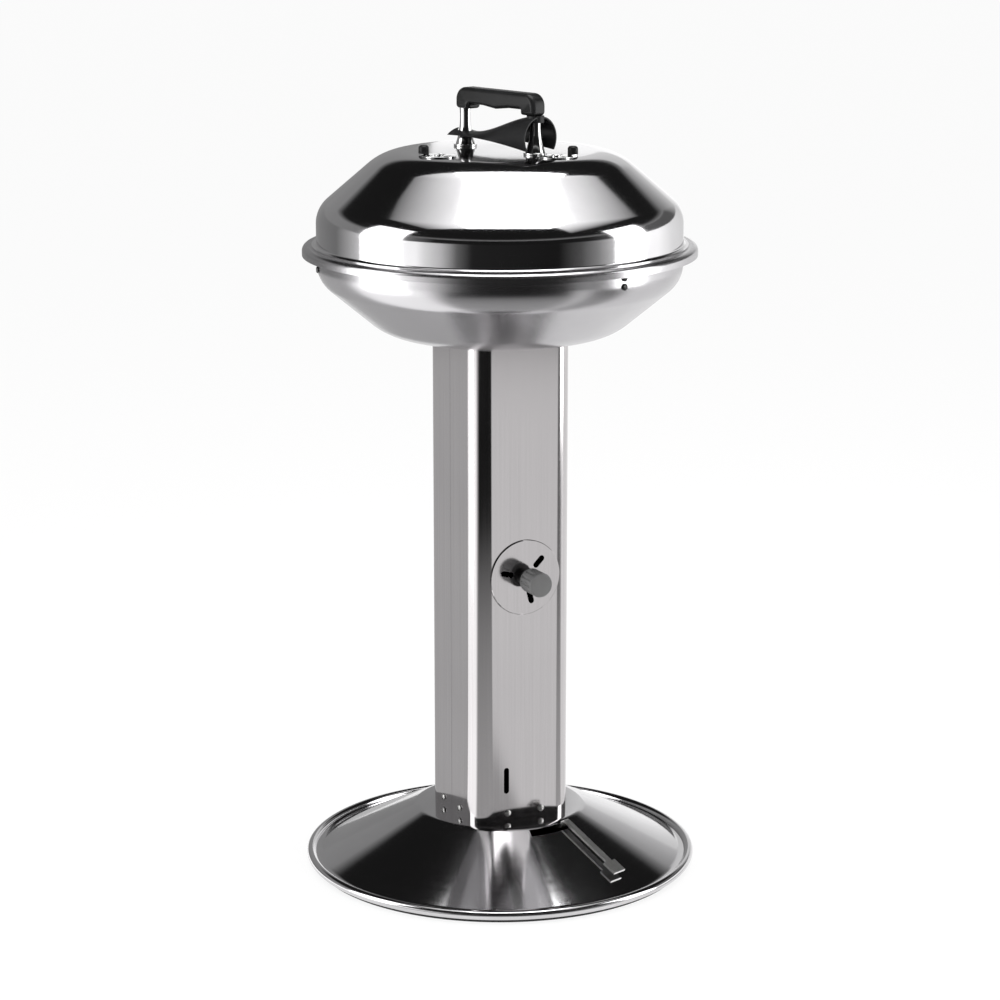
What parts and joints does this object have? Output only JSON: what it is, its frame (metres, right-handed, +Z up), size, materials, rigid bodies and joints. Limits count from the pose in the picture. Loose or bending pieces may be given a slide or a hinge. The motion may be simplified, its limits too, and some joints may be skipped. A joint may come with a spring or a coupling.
{
  "type": "charcoal grill",
  "caption": "Round stainless charcoal grill with a spun lid and bowl on a square chimney column and domed base, with damper, ash lever and lift-off lid.",
  "frame": {"origin": "on the floor, on the vertical axis of the column, bowl and base", "axes": "+Z up; the column face with the damper looks along -Y; +X to the right seen from the front"},
  "size_m": [0.553, 0.553, 1.091],
  "materials": {
    "polished_steel": "mirror polished spun stainless sheet with faint turning lines",
    "satin_steel": "satin polished stainless sheet",
    "plain_steel": "plain mill steel",
    "wire_steel": "drawn stainless wire, slightly matt",
    "bright_trim": "bright plated",
    "black_moulding": "black heat-proof moulding, slightly glossy",
    "grey_moulding": "grey moulded knob",
    "dark_fastener": "blackened steel fastener",
    "black_rubber": "matt black rubber"
  },
  "bodies": {
    "stand": {"base_dish": "polished_steel", "floor_ring": "black_rubber", "ash_pan": "plain_steel", "column_front_shell": "satin_steel", "column_rear_shell": "satin_steel", "column_seam_strips": "plain_steel", "foot_collar": "plain_steel", "foot_screws": "plain_steel", "base_bolts": "plain_steel", "top_flange": "plain_steel", "bowl": "polished_steel", "bowl_bolts": "plain_steel", "grate_bracket_1": "plain_steel", "grate_bracket_2": "plain_steel", "grate_bracket_3": "plain_steel", "bracket_screws": "dark_fastener", "fire_grate_ring": "wire_steel", "fire_grate_bars": "wire_steel"},
    "lid": {"lid_shell": "polished_steel", "handle_grip": "black_moulding", "handle_post_front": "bright_trim", "handle_post_rear": "bright_trim", "heat_shield": "black_moulding", "handle_screws": "plain_steel", "lid_hook": "plain_steel"},
    "vent_front": {"vent_front_shutter": "bright_trim", "vent_front_rivet": "bright_trim", "vent_front_knob": "bright_trim"},
    "vent_side": {"vent_side_shutter": "bright_trim", "vent_side_rivet": "bright_trim", "vent_side_knob": "bright_trim"},
    "grate": {"grate_ring": "wire_steel", "grate_bars": "wire_steel", "grate_cross_rods": "wire_steel", "grate_handle_left": "wire_steel", "grate_handle_right": "wire_steel"},
    "damper": {"damper_disc": "satin_steel", "damper_stem": "dark_fastener", "damper_knob": "grey_moulding", "damper_washer": "plain_steel", "damper_nut": "plain_steel"},
    "sweeper": {"sweeper_lever": "plain_steel", "sweeper_blades": "plain_steel", "sweeper_spindle": "plain_steel", "sweeper_nut": "plain_steel"}
  },
  "joints": [
    {"name": "lid_lift", "type": "slide", "parent": "stand", "child": "lid", "axis": [0, 0, 1], "range_m": [0, 0.3]},
    {"name": "vent_front_turn", "type": "hinge", "parent": "lid", "child": "vent_front", "pos_m": [0.03032, -0.10574, 1.01], "axis": [0, 0, 1], "range_deg": [-60, 0]},
    {"name": "vent_side_turn", "type": "hinge", "parent": "lid", "child": "vent_side", "pos_m": [-0.10574, -0.03032, 1.01], "axis": [0, 0, 1], "range_deg": [0, 60]},
    {"name": "grate_lift", "type": "slide", "parent": "stand", "child": "grate", "axis": [0, 0, 1], "range_m": [0, 0.03]},
    {"name": "damper_turn", "type": "hinge", "parent": "stand", "child": "damper", "pos_m": [0, -0.0765, 0.43], "axis": [0, -1, 0], "range_deg": [0, 60]},
    {"name": "ash_lever_swing", "type": "hinge", "parent": "stand", "child": "sweeper", "pos_m": [0, 0, 0.08], "axis": [0, 0, 1], "range_deg": [-23, 0]}
  ]
}
